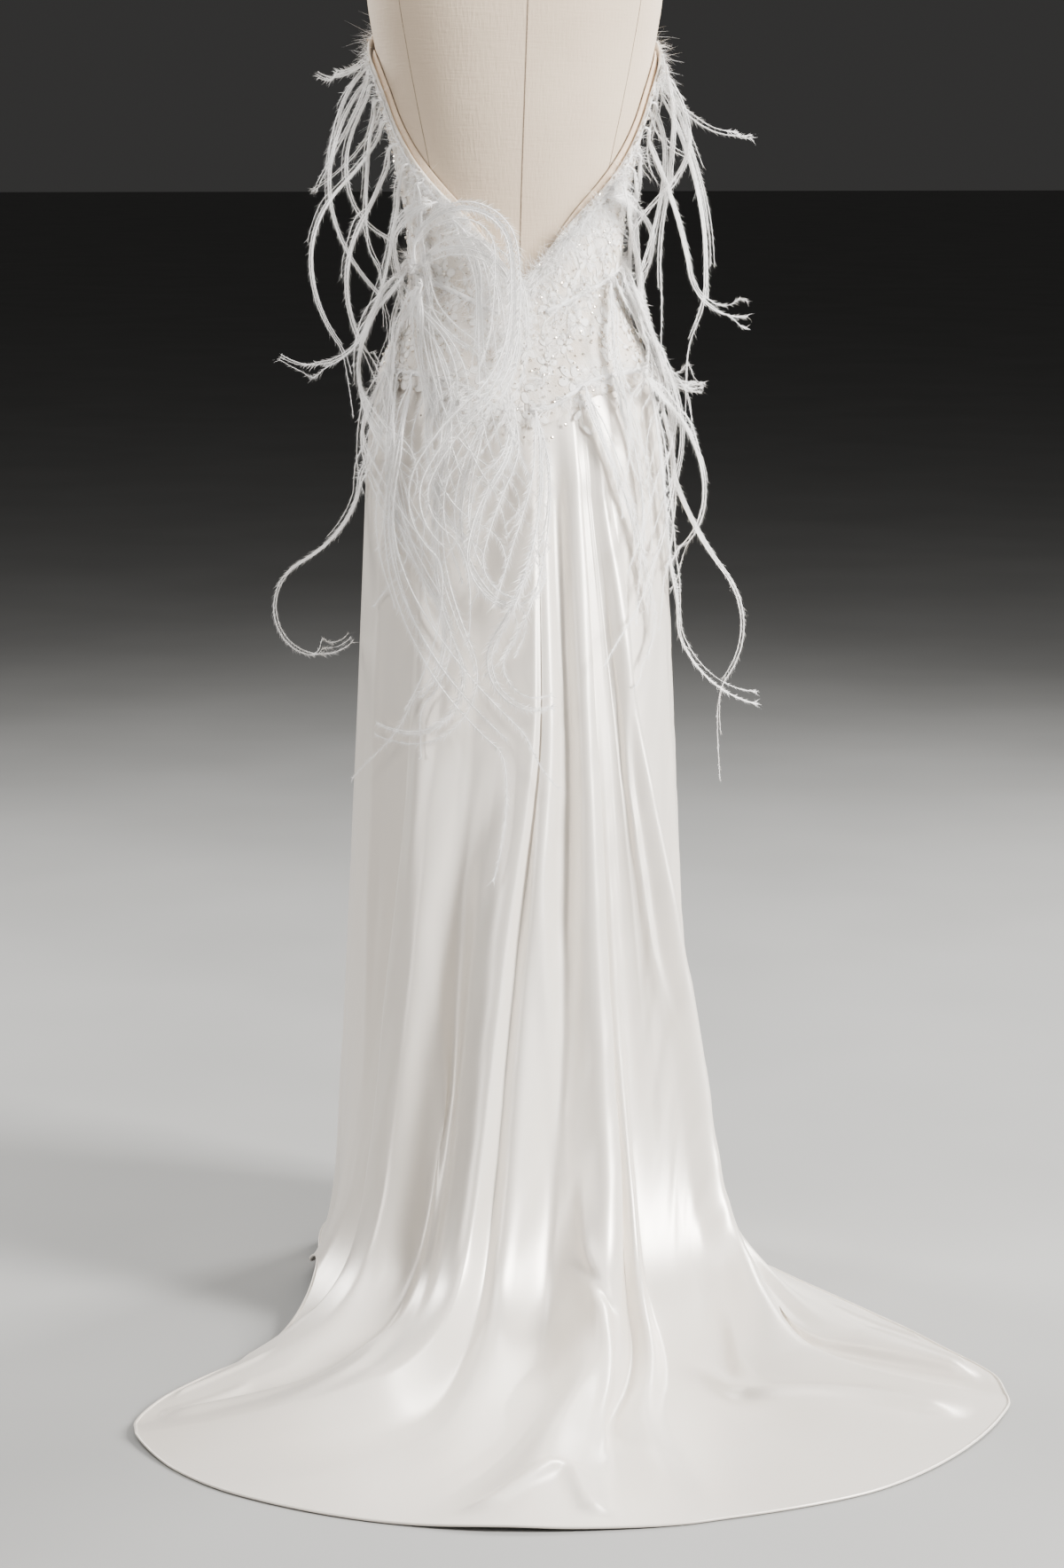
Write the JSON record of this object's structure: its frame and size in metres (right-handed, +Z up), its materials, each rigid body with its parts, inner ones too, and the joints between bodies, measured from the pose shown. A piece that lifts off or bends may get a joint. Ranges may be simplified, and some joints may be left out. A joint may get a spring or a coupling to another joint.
{
  "type": "wedding dress on a dress form",
  "caption": "Backless bias-cut satin wedding dress with a lace bodice, hanging ostrich plumes and a spread train, worn by a limbless linen dress form on a round stand.",
  "frame": {"origin": "centre of the stand's round base where it rests on the floor", "axes": "+Z up along the pole, the gown's front faces -Y and its train runs out towards +Y"},
  "size_m": [0.8605, 1.0111, 1.64],
  "materials": {
    "linen": "plain-woven beige linen stretched over the form",
    "stand_steel": "satin black painted steel",
    "satin": "heavy ivory crepe-backed satin with a soft broad sheen",
    "lace": "ivory corded lace with small beads and down over satin",
    "nude_lining": "nude stretch tulle edge",
    "ostrich_plume": "white curled ostrich plumes"
  },
  "bodies": {
    "root": {"form_torso": "linen", "stand_base": "stand_steel", "stand_pole": "stand_steel", "skirt_back": "satin", "skirt_front": "satin", "bodice_back_left": "lace", "bodice_back_right": "lace", "bodice_front": "lace", "lining_left": "nude_lining", "lining_right": "nude_lining", "plumes_edge_left": "ostrich_plume", "plumes_edge_right": "ostrich_plume", "plumes_waist_left": "ostrich_plume", "plumes_waist_right": "ostrich_plume", "plumes_basque_left": "ostrich_plume", "plumes_basque_right": "ostrich_plume", "plumes_edge_front": "ostrich_plume", "plumes_waist_front": "ostrich_plume"}
  },
  "joints": []
}
